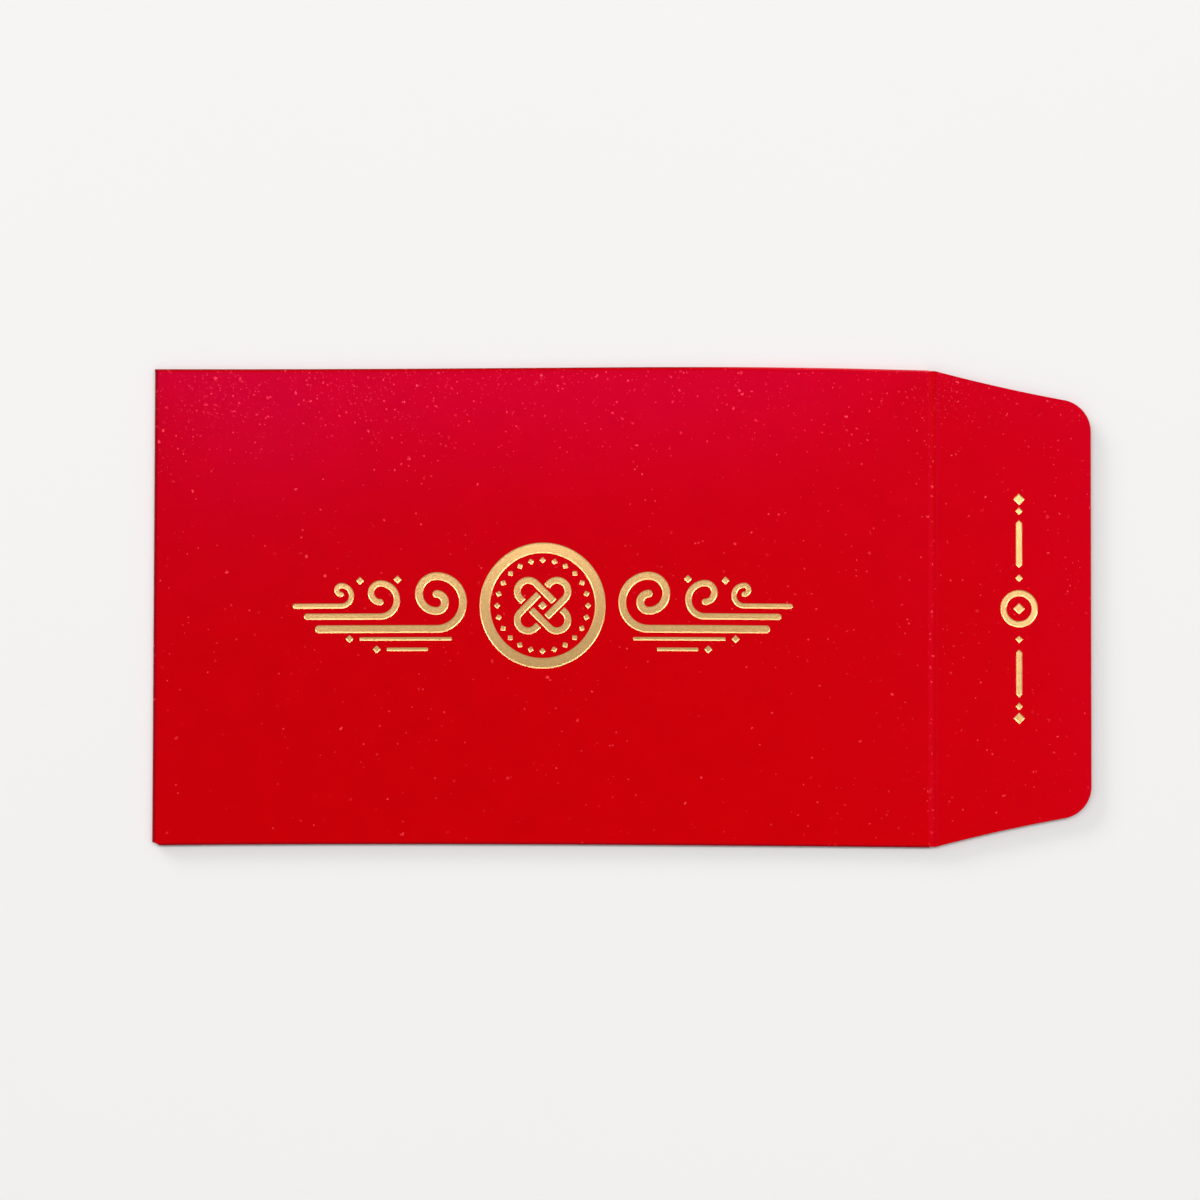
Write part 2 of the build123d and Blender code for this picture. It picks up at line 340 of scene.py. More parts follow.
def motifRings(shape, grows):  # the stroke's outline at each distance, from its lip down to its floor
    if shape["kind"] == "ring":
        circle = spokes(np.linspace(0, 2 * np.pi, shape["steps"], endpoint=False))
        outer = [circle * (shape["radius"] + shape["half"] + grow) for grow in grows]
        inner = [circle * (shape["radius"] - shape["half"] - grow) for grow in grows]
        rings = np.stack(outer + inner[::-1])
    elif shape["kind"] == "stroke":
        rings = np.stack([strokeLoop(shape, grow) for grow in grows])
    else:
        loops = [roundedLoop(shape["corners"], stamp["corner"], grow) for grow in grows]
        rings = dividedLoops(loops, stamp["pitch"])
    if shape["mirrored"]:
        rings = rings * np.array([-1.0, 1.0])
    return rings + shape["centre"]


def motifFaces(shape, rings):  # walls from ring to ring, and the floor inside the last
    faces = gridFaces(*rings.shape[:2], closed=True).tolist()
    last = (len(rings) - 1) * rings.shape[1]
    if shape["kind"] == "stroke":
        faces += [[last + i for i in face] for face in strokeFloor(shape)]
    if shape["kind"] == "polygon":
        faces.append(list(range(last, last + rings.shape[1])))
    return faces


# Stamped motifs, with the sizes that the solids have

ornament = dict(
    ringRadius=12.2, ringStroke=2.2, ringSteps=160,
    lozengeCount=24, lozengeSide=0.95, lozengeCircle=9.6,
    knotStroke=1.4, knotLoop=2.3, knotReach=6.6, knotBreak=0.5, knotLozenge=1.3,
    knotSteps=40, knotShortPitch=0.4, knotLongPitch=1.2,
)
cloud = dict(
    gap=3.0, length=36.0, height=14.0, stroke=1.6, turnGap=2.2, lozengeSide=1.2,
    endShare=0.75,  # a curl stops at a radius of this part of its stroke
    turnSteps=44,
    fewerSteps=8,  # points that each half circle has less than the last
    tailPitch=2.5,
)
# Share of the cloud's length to the middle and to the tail's end, of its height to the base, radius, stroke
curls = dict(
    large=(0.17, 0.86, -0.35, 0.40, 1.0),
    medium=(0.50, 0.93, -0.16, 0.25, 0.8),
    small=(0.73, 1.0, 0.0, 0.155, 0.65),
)
fineLines = dict(
    stroke=0.7, drop=7.0, pitch=2.2,
    lineShares=((0.08, 0.62), (0.22, 0.46)),
    endLozengeShares=(0.68, 0.52),
    upperLozengeShares=((0.40, 0.40), (0.62, 0.38)),
)
flapOrnament = dict(
    stroke=1.25, length=48.0, ringRadius=3.3, ringSteps=72, lozengeSide=1.7, spacerSide=1.1,
    barShares=(0.18, 0.39), spacerShares=(0.135, 0.43), lozengeShare=0.482,
)


def ringShape(sizes, stroke):  # round band
    return dict(kind="ring", radius=sizes["ringRadius"], half=stroke / 2, steps=sizes["ringSteps"])


def polygonShape(corners, half):  # convex spot with slightly rounded corners
    return dict(kind="polygon", corners=np.array(corners, float), half=half)


def lozengeShape(x, y, side, turn=0.0):  # square standing on its corner, turned about the ornament's middle
    reach = side / math.sqrt(2)
    return polygonShape(np.array([x, y]) + reach * spokes(np.arange(4) * np.pi / 2 + turn), side / 2)


def strokeShape(parts, stroke, roundEnds, turned=0.0):  # band along parts end to end, turned about the middle
    path, normals = [np.concatenate([run[:-1] for run in runs[:-1]] + [runs[-1]]) for runs in zip(*parts)]
    spin = np.array([[np.cos(turned), np.sin(turned)], [-np.sin(turned), np.cos(turned)]])
    steps = stamp["roundEndSteps"] if roundEnds else stamp["plainEndSteps"]
    return dict(kind="stroke", path=path @ spin, normals=normals @ spin, half=stroke / 2,
                round=roundEnds, endSteps=steps)


def arcPart(centre, radius, start, end, steps):  # points and outward normals of an arc that turns clockwise
    normals = spokes(np.linspace(start, end, steps))
    return np.array(centre) + radius * normals, normals


def straightPart(start, end, pitch):  # points and left-hand normals of a straight run
    start, end = np.array(start, float), np.array(end, float)
    length = np.linalg.norm(end - start)
    share = np.linspace(0, 1, max(2, int(round(length / pitch)) + 1))[:, None]
    return start + (end - start) * share, np.tile(-rightOf((end - start) / length), (len(share), 1))


def alongCloud(share):  # distance from the ornament's middle to a share of the cloud's length
    return ornament["ringRadius"] + ornament["ringStroke"] / 2 + cloud["gap"] + cloud["length"] * share


def curlShape(size):  # tail along the base line, then half circles that shrink by one step each
    middleShare, tailShare, baseShare, radiusShare, strokeShare = curls[size]
    stroke = cloud["stroke"] * strokeShare
    step = (cloud["stroke"] + cloud["turnGap"]) * strokeShare / 2
    firstRadius = cloud["height"] * radiusShare
    turns = int(np.ceil((firstRadius - cloud["endShare"] * stroke) / step))
    x, y = alongCloud(middleShare), cloud["height"] * baseShare
    parts = [straightPart((alongCloud(tailShare), y), (x, y), cloud["tailPitch"])]
    for turn in range(turns):
        radius = firstRadius - step * turn
        side = 1 if turn % 2 == 0 else -1
        start, steps = -side * np.pi / 2, cloud["turnSteps"] - cloud["fewerSteps"] * turn
        parts.append(arcPart((x, y + side * radius), radius, start, start - np.pi, steps))
        y += 2 * side * radius
    return strokeShape(parts, stroke, True)


def knotStrand(turned):  # short bar, half circle and long bar back
    loop, stroke = ornament["knotLoop"], ornament["knotStroke"]
    endX = loop + stroke / 2 + ornament["knotBreak"]
    turnX = ornament["knotReach"] - loop
    return strokeShape([
        straightPart((endX, loop), (turnX, loop), ornament["knotShortPitch"]),
        arcPart((turnX, 0), loop, np.pi / 2, -np.pi / 2, ornament["knotSteps"]),
        straightPart((turnX, -loop), (endX - 2 * loop, -loop), ornament["knotLongPitch"]),
    ], stroke, False, turned)


def fineLineShapes():  # fine bars below a cloud, a lozenge after each, and lozenges above the cloud
    half, side = fineLines["stroke"] / 2, cloud["lozengeSide"]
    shapes = []
    for row, ends in enumerate(fineLines["lineShares"]):
        y = -fineLines["drop"] - fineLines["pitch"] * row
        x0, x1 = [alongCloud(share) for share in ends]
        shapes.append(polygonShape([(x0, y - half), (x1, y - half), (x1, y + half), (x0, y + half)], half))
        shapes.append(lozengeShape(alongCloud(fineLines["endLozengeShares"][row]), y, side))
    for along, up in fineLines["upperLozengeShares"]:
        shapes.append(lozengeShape(alongCloud(along), cloud["height"] * up, side))
    return shapes


def flapBarShape(side):  # bar with pointed ends, above or below the flap's ring
    y0, y1 = [flapOrnament["length"] * share for share in flapOrnament["barShares"]]
    half = flapOrnament["stroke"] / 2
    right = [(0, y0), (half, y0 + half), (half, y1 - half)]
    left = [(0, y1), (-half, y1 - half), (-half, y0 + half)]
    return polygonShape(side * np.array(right + left), half)


def placed(foils, ring):  # shapes set round the middle of a ring's node, those on the left mirrored
    centre = np.mean(nodeBox(ring), axis=0)[:2]
    return {name: [dict(shape, centre=centre, mirrored="left" in name) for shape in shapes]
            for name, shapes in foils.items()}


def frontFoils():  # shapes of each foil on the front by its node's name
    turns = np.arange(ornament["lozengeCount"]) * 2 * np.pi / ornament["lozengeCount"]
    circle, side = ornament["lozengeCircle"], ornament["lozengeSide"]
    knotTurns = np.pi / 4 + np.arange(4) * np.pi / 2
    foils = dict(
        foil_ring=[ringShape(ornament, ornament["ringStroke"])],
        foil_ring_lozenges=[lozengeShape(circle * math.cos(a), circle * math.sin(a), side, a) for a in turns],
        foil_knot=[knotStrand(a) for a in knotTurns] + [lozengeShape(0, 0, ornament["knotLozenge"])],
    )
    for side in ("left", "right"):
        for size in curls:
            foils[f"foil_{side}_cloud_{size}"] = [curlShape(size)]
        foils[f"foil_{side}_lines"] = fineLineShapes()
    return placed(foils, "foil_ring")


def flapFoils():  # shapes of each foil on the flap by its node's name
    length, sides = flapOrnament["length"], (-1, 1)
    ends = [0, *[side * length * flapOrnament["lozengeShare"] for side in sides]]
    spacers = [side * length * share for share in flapOrnament["spacerShares"] for side in sides]
    return placed(dict(
        foil_flap_ring=[ringShape(flapOrnament, flapOrnament["stroke"])],
        foil_flap_bars=[flapBarShape(side) for side in sides],
        foil_flap_lozenges=[lozengeShape(0, y, flapOrnament["lozengeSide"]) for y in ends]
        + [lozengeShape(0, y, flapOrnament["spacerSide"]) for y in spacers],
    ), "foil_flap_ring")


def slopeReach(shape):  # how far the slope goes in from the foil's edge
    return min(stamp["wall"], stamp["wallShare"] * shape["half"])


def stampProfile(shape, share):  # distance from the edge and depth, on a smooth slope from lip to floor
    grows = stamp["lip"] - share * (stamp["lip"] + slopeReach(shape))
    depths = -stamp["depth"] * share ** 2 * (3 - 2 * share)
    return np.append(grows, grows[-1] - stamp["floorRim"]), np.append(depths, depths[-1])


def stampPatch(shape, grows, depths, lift=0.0):  # rings of a stamp at their depths, with their faces
    rings = motifRings(shape, grows)
    if shape["kind"] == "ring":  # down one wall and up the other
        depths = np.append(depths, depths[::-1])
    return raised(rings, sheetTop(rings) + lift + depths[:, None]), motifFaces(shape, rings)


def pressedPatch(shape):  # the card's own surface in a stamp: flat rim, lip, slope and floor
    grows, depths = stampProfile(shape, np.linspace(0, 1, stamp["steps"] + 1))
    return stampPatch(shape, np.append(stamp["lip"] + stamp["rim"], grows), np.append(0.0, depths))


def addFilm(shell, shape):  # thin film on the slope and floor, its two skins joined at the foil's edge
    edgeShare = stamp["lip"] / (stamp["lip"] + slopeReach(shape))
    share = np.linspace(edgeShare, 1, stamp["steps"])
    grows, depths = stampProfile(shape, share)
    feather = stamp["filmFeather"] * (1 - edgeShare)
    rise = stamp["filmThickness"] * np.clip((share - edgeShare) / feather, 0, 1)
    for skin in (depths + np.append(rise, rise[-1]), depths):
        addPatch(shell, *stampPatch(shape, grows, skin, stamp["filmGap"]))


# Nodes, each in the tree of the sockets that feed it

def feed(node, inputs):  # inputs by name or number: sockets are linked, plain values and colours set
    for key, value in inputs.items():
        socket = node.inputs[key]
        if isinstance(value, bpy.types.NodeSocket):
            node.id_data.links.new(value, socket)
        else:
            socket.default_value = (*value, 1.0) if socket.type == "RGBA" else value


def newNode(tree, kind, **settings):  # node with its settings
    node = tree.nodes.new(kind)
    for key, value in settings.items():
        setattr(node, key, value)
    return node


def addNode(kind, inputs, **settings):  # node fed by its inputs, of which at least one is a socket
    sockets = [value for value in inputs.values() if isinstance(value, bpy.types.NodeSocket)]
    node = newNode(sockets[0].id_data, kind, **settings)
    feed(node, inputs)
    return node


def mathNode(operation, *values, clamp=False):  # value from sockets or plain numbers
    return addNode("ShaderNodeMath", dict(enumerate(values)), operation=operation, use_clamp=clamp).outputs[0]


def vectorNode(operation, *values):  # vector or value from vectors
    return addNode("ShaderNodeVectorMath", dict(enumerate(values)), operation=operation).outputs


def product(first, second):  # one value times another
    return mathNode("MULTIPLY", first, second)


def weightedSum(base, *parts):  # a first value plus each socket times its weight
    total = base
    for value, weight in parts:
        total = mathNode("MULTIPLY_ADD", value, weight, total)
    return total


def distanceTo(value, place):  # how far a value is from a place, on either side
    return mathNode("ABSOLUTE", mathNode("SUBTRACT", value, place))


def ramp(value, low, high, toLow=0.0, toHigh=1.0):  # smooth step between two limits
    limits = {"Value": value, "From Min": low, "From Max": high, "To Min": toLow, "To Max": toHigh}
    return addNode("ShaderNodeMapRange", limits, interpolation_type="SMOOTHSTEP").outputs[0]


def mixColour(factor, first, second):  # colours from sockets or plain colours
    return addNode("ShaderNodeMix", {0: factor, 6: first, 7: second}, data_type="RGBA").outputs[2]


def noiseNode(vector, values):  # noise over the coordinates, as a value and as a colour
    return addNode("ShaderNodeTexNoise", {"Vector": vector, **values}).outputs


def objectPlace(tree):  # the piece's own coordinates, in metres
    return newNode(tree, "ShaderNodeTexCoord").outputs["Object"]


def newGroup(name, inputs, outputs):  # empty group with a vector and named values in, and named values out
    tree = bpy.data.node_groups.new(name, "ShaderNodeTree")
    tree.interface.new_socket(name="Vector", in_out="INPUT", socket_type="NodeSocketVector")
    for way, labels in (("INPUT", inputs), ("OUTPUT", outputs)):
        for label in labels:
            tree.interface.new_socket(name=label, in_out=way, socket_type="NodeSocketFloat")
    return tree, tree.nodes.new("NodeGroupInput").outputs, tree.nodes.new("NodeGroupOutput")


def useGroup(group, vector, **values):  # outputs of a group fed with coordinates and its own values
    return addNode("ShaderNodeGroup", {"Vector": vector, **values}, node_tree=group).outputs


paper = dict(
    clouds=dict(Scale=14.0, Detail=4.0, Roughness=0.6),  # cloudy formation of the pulp
    tooth=dict(Scale=330.0, Detail=2.0, Roughness=0.6),  # felt side
    fibres=dict(Scale=90.0, Detail=3.0, Distortion=0.6),
    fibreTurn=(0, 0, 0.35), fibreDraw=(1.0, 7.0, 1.0),
    fibreShare=0.38,  # of the height
    heightShare=0.45,  # of the tone
)


def paperGrainGroup():  # pulp mottle from three noises: cloudy formation, felt-side tooth, drawn-out fibres
    tree, enter, leave = newGroup("paperGrain", ["Fineness"], ["Tone", "Height"])
    scaled = vectorNode("MULTIPLY", enter["Vector"], enter["Fineness"])[0]
    turned = {"Vector": scaled, "Rotation": paper["fibreTurn"], "Scale": paper["fibreDraw"]}
    drawn = addNode("ShaderNodeMapping", turned).outputs[0]
    clouds, tooth = [noiseNode(scaled, paper[kind])[0] for kind in ("clouds", "tooth")]
    fibres = noiseNode(drawn, paper["fibres"])[0]
    height = weightedSum(0.0, (fibres, paper["fibreShare"]), (tooth, 1 - paper["fibreShare"]))
    tone = weightedSum(0.0, (height, paper["heightShare"]), (clouds, 1 - paper["heightShare"]))
    feed(leave, {"Tone": tone, "Height": height})
    return tree


speck = dict(
    waves=2.4,  # waves of the outline for each cell
    waveDetail=1.0,
    waveReach=0.6,  # how far they move it, in cells
    smallest=0.45,  # size of the smallest speck, as part of the largest
    softEdge=0.6,  # part of the way in over which a speck fades in
)


def paleFlecksGroup():  # specks near a cell's own point, with a wavy outline, where that cell's lot is drawn
    tree, enter, leave = newGroup("paleFlecks", ["Cells", "Density", "Size", "Faintest"], ["Mask"])
    vector, scale = enter["Vector"], enter["Cells"]
    waves = {"Scale": product(scale, speck["waves"]), "Detail": speck["waveDetail"]}
    centred = vectorNode("SUBTRACT", noiseNode(vector, waves)["Color"], (0.5, 0.5, 0.5))[0]
    bent = vectorNode("MULTIPLY_ADD", centred, mathNode("DIVIDE", speck["waveReach"], scale), vector)[0]
    pattern = {"Vector": bent, "Scale": scale, "Randomness": 1.0}
    cells = addNode("ShaderNodeTexVoronoi", pattern, voronoi_dimensions="2D").outputs
    # A cell's colour also places its point, so three fresh lots are drawn from it
    draw = addNode("ShaderNodeTexWhiteNoise", {"Vector": cells["Color"]}, noise_dimensions="3D")
    lots = addNode("ShaderNodeSeparateColor", {0: draw.outputs["Color"]}).outputs
    size = product(enter["Size"], ramp(lots[1], 0.0, 1.0, speck["smallest"], 1.0))
    inside = mathNode("SUBTRACT", 1.0, mathNode("DIVIDE", cells["Distance"], size), clamp=True)
    drawn = mathNode("LESS_THAN", lots[2], enter["Density"])
    # Faint specks outnumber strong ones: the strength is the faintest one over a lot, at most 1
    strength = mathNode("DIVIDE", enter["Faintest"], lots[0], clamp=True)
    soft = ramp(inside, 0.0, speck["softEdge"])
    feed(leave, {"Mask": product(product(soft, drawn), strength)})
    return tree


paperGrain = paperGrainGroup()
paleFlecks = paleFlecksGroup()


# Materials; a relief is the strength of its bump and its depth in millimetres

def newMaterial(name):  # material with an empty tree, a Principled shader and its output
    material = bpy.data.materials.new(name)
    material.use_nodes = True
    tree = material.node_tree
    tree.nodes.clear()
    shader = newNode(tree, "ShaderNodeBsdfPrincipled")
    addNode("ShaderNodeOutputMaterial", {"Surface": shader.outputs[0]})
    return material, tree, shader


def relief(height, strength, depth):  # normal from a height in the material
    inputs = {"Height": height, "Strength": strength, "Distance": depth * mm}
    return addNode("ShaderNodeBump", inputs).outputs["Normal"]


# Ramps are two limits, and the values at them where these aren't 0 and 1
grainRange = (0.3, 0.7)  # where the grain's tone and height lie

redCard = dict(
    deep=(0.545, 0.0002, 0.0002),
    light=(0.635, 0.0004, 0.0004),
    mottle=(0.32, 0.68, -0.22, 0.22),  # by the grain's tone, as a share of the way from deep to light
    paintedBrightening=0.36,  # painted light: the card is painted lighter towards the flap, by this share each 100 mm
    middle=0.61,  # and has this share at the sheet's middle
    # painted shade: the folds' outer edges darkened where they turn away from the light
    paintedFoldShade=(0.11, 0.0001, 0.0005),
    # pale band on the upper fold: rubbed card with a painted highlight
    rubAndPaintedHighlight=(0.62, 0.050, 0.090),
    # painted highlight on the crease ridge's lit side, with its grain below
    paintedCreaseHighlight=(0.72, 0.010, 0.030),
    creaseHighlightGrain=(0.42, 0.66, 0.0, 0.20),
    # bright specks, partly specks in the card and partly painted glints
    speckAndGlint=(1.0, 0.052, 0.070),
    fleck=(1.0, 0.056, 0.074),
    rough=(0.16, 0.20),
    creaseMatt=(0.004, 0.012, 0.50, 0.0),  # the crease is rougher than the rest by this
    specular=0.25, tint=(0.30, 0.012, 0.32),
    relief=(0.12, 0.03),
)
# Places of the painted crease highlight and of denser specks, in units of the UV map, from the sheet's middle
markPlaces = dict(
    creaseLightShift=0.45,  # millimetres from the crease to the painted highlight's line, on the pocket's side, which faces the light
    creaseLightBand=(0.0, 0.010, 1.0, 0.0),
    patches=dict(Scale=5.0, Detail=3.0), patchRise=(0.35, 0.65, 0.6, 1.2),
    upperSpeckLean=-0.05, upperSpeckRise=(0.22, 0.58),  # along the upper side
    footRise=(-0.35, -0.05),  # the lower side has the fewest specks
    flapRise=(0.25, 0.68),
    cornerLean=-0.25, cornerRise=(0.42, 0.76),  # fine specks in the upper corner away from the flap
    rootInset=(4.0, 3.0), rootFall=(0.0, 0.12, 1.0, 0.0),  # and at the flap's root, inset in mm
)
# Density of each kind of speck, partly painted glints: a base, and what each place adds to it
flecks = dict(
    bold=dict(speck=dict(Cells=62.0, Size=0.24, Faintest=0.14), strength=1.0, base=0.024,
              places=dict(foot=0.010, upperSpecks=0.28, crease=0.64, flap=0.034)),
    fine=dict(speck=dict(Cells=190.0, Size=0.50, Faintest=0.17), strength=0.9, base=0.007,
              places=dict(foot=0.005, upperSpecks=0.095, crease=0.03, flap=0.009)),
    speckAndGlint=dict(speck=dict(Cells=300.0, Size=0.62, Faintest=0.17), strength=0.6, base=0.0,
              places=dict(speckCorners=0.15)),
)
# Bands of painted shade and highlight along the folds, by the way out from the panel's edge, in UV map units
rims = dict(
    end=(0.013, 0.020, 1.0, 0.0),  # every band fades out underneath the fold
    low=(-0.002, 0.0075), lowStrength=0.85,  # painted shade along the seam and bottom folds
    upper=(0.0005, 0.008), upperFade=(0.05, 0.35, 0.75, 0.0),  # and the first part of the upper fold
    pale=(0.0015, 0.005), paleRise=(0.15, 0.45), paleGrain=(0.40, 0.58, 0.10, 0.65),  # rubbed card and painted highlight along the rest
)


def foldBand(outside, rise):  # 0 to 1 over the way out round a fold, and back to 0 underneath
    return product(ramp(outside, *rise), ramp(outside, *rims["end"]))


def foldRims(u, v, height):  # painted shade round the folds, and a pale band of rubbed card and painted highlight on the upper fold
    bottom = mathNode("SUBTRACT", frontLow[0] * uvPerMm, u)
    seam = mathNode("SUBTRACT", frontLow[1] * uvPerMm, v)
    upper = mathNode("SUBTRACT", v, frontHigh[1] * uvPerMm)
    # painted shade along the lower folds and the first part of the upper fold
    low = product(foldBand(mathNode("MAXIMUM", bottom, seam), rims["low"]), rims["lowStrength"])
    high = product(foldBand(upper, rims["upper"]), ramp(u, *rims["upperFade"]))
    # patchy pale band: rubbed card and painted highlight
    rubAndPaintedHighlight = product(ramp(u, *rims["paleRise"]), ramp(height, *rims["paleGrain"]))
    pale = product(foldBand(upper, rims["pale"]), rubAndPaintedHighlight)
    beforeMouth = mathNode("LESS_THAN", u, mouthX * uvPerMm)
    return product(mathNode("MAXIMUM", low, high), beforeMouth), product(pale, beforeMouth)


def markMasks(uv, u, v):  # masks of the places, in noise patches: the crease's painted highlight, and where the specks gather
    patchy = ramp(noiseNode(uv, markPlaces["patches"])[0], *markPlaces["patchRise"])
    upperSpecks = ramp(weightedSum(v, (u, markPlaces["upperSpeckLean"])), *markPlaces["upperSpeckRise"])
    corner = ramp(weightedSum(v, (u, markPlaces["cornerLean"])), *markPlaces["cornerRise"])
    insetX, insetY = markPlaces["rootInset"]
    root = np.array([flapLow[0] + insetX, flapHigh[1] - insetY, 0.0]) * uvPerMm
    nearRoot = ramp(vectorNode("DISTANCE", uv, root)["Value"], *markPlaces["rootFall"])
    offCrease = distanceTo(u, (creaseX - markPlaces["creaseLightShift"]) * uvPerMm)
    return dict(
        # band of the painted crease highlight, where specks also gather
        crease=ramp(offCrease, *markPlaces["creaseLightBand"]),
        upperSpecks=product(upperSpecks, patchy),
        speckCorners=product(mathNode("MAXIMUM", corner, nearRoot), patchy),
        foot=ramp(v, *markPlaces["footRise"]),
        flap=ramp(u, *markPlaces["flapRise"]),
    )


def cardFlecks(uv, places, look):  # specks of one kind, as dense as the places make them
    density = weightedSum(look["base"], *[(places[key], weight) for key, weight in look["places"].items()])
    return product(useGroup(paleFlecks, uv, Density=density, **look["speck"])["Mask"], look["strength"])


def redCardMaterial():  # dyed card: mottle, specks partly painted glints, painted brightening to the flap, painted light and shade at crease and folds
    material, tree, shader = newMaterial("redCard")
    uv = newNode(tree, "ShaderNodeUVMap", uv_map="Sheet").outputs[0]
    u, v, _ = addNode("ShaderNodeSeparateXYZ", {0: uv}).outputs
    tone, height = useGroup(paperGrain, uv, Fineness=1.0)
    places = markMasks(uv, u, v)
    bold, fine, speckAndGlint = [cardFlecks(uv, places, look) for look in flecks.values()]
    # painted highlight along the crease, patchy with the grain
    paintedCreaseHighlight = product(places["crease"], ramp(height, *redCard["creaseHighlightGrain"]))
    # painted shade round the folds, and the upper fold's pale band of rubbed card and painted highlight
    dark, pale = foldRims(u, v, height)
    # coats: painted crease highlight, painted fold shade, rubbed card with painted highlight, specks partly
    # painted glints
    coats = dict(paintedCreaseHighlight=paintedCreaseHighlight, paintedFoldShade=dark, rubAndPaintedHighlight=pale, speckAndGlint=mathNode("MAXIMUM", fine, speckAndGlint), fleck=bold)
    # the grain's mottle, and a painted brightening towards the flap
    dyeAndPaintedLight = weightedSum(redCard["middle"], (ramp(tone, *redCard["mottle"]), 1.0), (u, redCard["paintedBrightening"]))
    colour = mixColour(dyeAndPaintedLight, redCard["deep"], redCard["light"])
    for finish, mask in coats.items():
        colour = mixColour(mask, colour, redCard[finish])
    matt = ramp(distanceTo(u, creaseX * uvPerMm), *redCard["creaseMatt"])
    feed(shader, {
        "Base Color": colour,
        "Roughness": mathNode("ADD", ramp(height, *grainRange, *redCard["rough"]), matt),
        "Specular IOR Level": redCard["specular"],
        "Specular Tint": redCard["tint"],
        "Normal": relief(height, *redCard["relief"]),
    })
    return material


goldFoil = dict(
    fineness=11.0, bright=(0.97, 0.605, 0.250), warm=(0.94, 0.560, 0.215), fleck=(0.98, 0.86, 0.58),
    flecks=dict(Cells=2600.0, Density=0.05, Size=0.25, Faintest=0.45),
    rough=(0.17, 0.23), relief=(0.2, 0.02),
)


def goldFoilMaterial():  # stamped metal film: the card's tooth shows through, with a few bright specks
    material, tree, shader = newMaterial("goldFoil")
    place = objectPlace(tree)
    tone, height = useGroup(paperGrain, place, Fineness=goldFoil["fineness"])
    specks = useGroup(paleFlecks, place, **goldFoil["flecks"])["Mask"]
    colour = mixColour(ramp(tone, *grainRange), goldFoil["warm"], goldFoil["bright"])
    feed(shader, {
        "Base Color": mixColour(specks, colour, goldFoil["fleck"]),
        "Metallic": 1.0,
        "Roughness": ramp(height, *grainRange, *goldFoil["rough"]),
        "Normal": relief(height, *goldFoil["relief"]),
    })
    return material


cutEdge = dict(
    grain="Height", fineness=25.0, low=(0.30, 0.0015, 0.004), high=(0.46, 0.006, 0.012), rough=(0.75, 0.95),
    specular=0.12, relief=(0.6, 0.05),
)
paperGlue = dict(
    grain="Tone", fineness=6.0, low=(0.62, 0.50, 0.30), high=(0.48, 0.34, 0.16), rough=(0.25, 0.45),
    specular=0.5, relief=(0.3, 0.05),
)


def fibredMaterial(name, look):  # raw cut edge or dried glue: colour and roughness run with the grain
    material, tree, shader = newMaterial(name)
    grain = useGroup(paperGrain, objectPlace(tree), Fineness=look["fineness"])
    tone = ramp(grain[look["grain"]], *grainRange)
    feed(shader, {
        "Base Color": mixColour(tone, look["low"], look["high"]),
        "Roughness": ramp(tone, 0.0, 1.0, *look["rough"]),
        "Specular IOR Level": look["specular"],
        "Normal": relief(grain["Height"], *look["relief"]),
    })
    return material


cardFace = redCardMaterial()
cardCut = fibredMaterial("cutEdge", cutEdge)
foilMetal = goldFoilMaterial()
driedGlue = fibredMaterial("paperGlue", paperGlue)
print("materials made:", cardFace.name, cardCut.name, foilMetal.name, driedGlue.name)


# Outline of the crease strip and the flap, from the upper to the lower corner of the mouth

flap = dict(
    sideSlant=7.1,  # how far each side comes in over the flap's depth
    sideHollow=0.4,  # how far the slanting sides curve inwards
    cornerRadius=6.8,
    mouthStep=0.03,  # the strip widens to the flap's root over this length
    slopeStep=0.05,  # a side's slope is measured over this to each side
    touchRounds=3,
    sideSteps=26, cornerSteps=20, edgeSteps=30,
)


def flapSide(x):  # straight slant with a parabola taken off, from the root to the free edge
    share = shareOf(x, flapLow[0], flapHigh[0])
    return creaseHigh[1] - flap["sideSlant"] * share - flap["sideHollow"] * 4 * share * (1 - share)


def flapOutline():  # strip, side and corner arc, mirrored for the lower half
    columns, radius, step = sheet["creaseColumns"], flap["cornerRadius"], flap["slopeStep"]
    stripX = np.append(mouthX, np.linspace(mouthX + flap["mouthStep"], creaseEnd, columns - 1))
    arcX = flapHigh[0] - radius
    touch = arcX
    for _ in range(flap["touchRounds"]):  # the arc's first point moves until arc and side have one slope
        slope = (flapSide(touch + step) - flapSide(touch - step)) / (2 * step)
        normal = np.array([-slope, 1.0]) / math.hypot(slope, 1.0)
        touch = arcX + radius * normal[0]
    arcY = flapSide(touch) - radius * normal[1]
    sideX = np.linspace(creaseEnd, touch, flap["sideSteps"])[1:]
    turn = np.linspace(math.atan2(normal[1], normal[0]), 0, flap["cornerSteps"])[1:]
    upperX = np.concatenate([stripX, sideX, arcX + radius * np.cos(turn)])
    upperY = np.concatenate([flapSide(stripX), flapSide(sideX), arcY + radius * np.sin(turn)])
    widened = shareOf(upperX, mouthX, mouthX + flap["mouthStep"])
    upper = np.stack([upperX, frontHigh[1] + (upperY - frontHigh[1]) * widened], axis=-1)
    lower = np.stack([upperX, frontLow[1] - (upperY + frontLow[1]) * widened], axis=-1)[::-1]
    edgeY = np.linspace(arcY, -arcY, flap["edgeSteps"])[1:-1]
    return np.concatenate([upper, linePoints(flapHigh[0], edgeY), lower])


outline = flapOutline()
outlineInsets = -rightOf(unit(np.gradient(outline, axis=0)))  # left-hand normals, none at the mouth's corners
outlineInsets[[0, 1, -2, -1]] = 0.0
skinEdge = outline - outlineInsets * sheet["edgeRound"]


# Front of the card: panel, three folds, crease and flap in one sheet

def cutWall(path, tops, insets=0.0):  # edge profile carried along a path, drawn in along its insets
    return raised(path - insets * edgeInset[:, None, None], tops - edgeDrop[:, None])


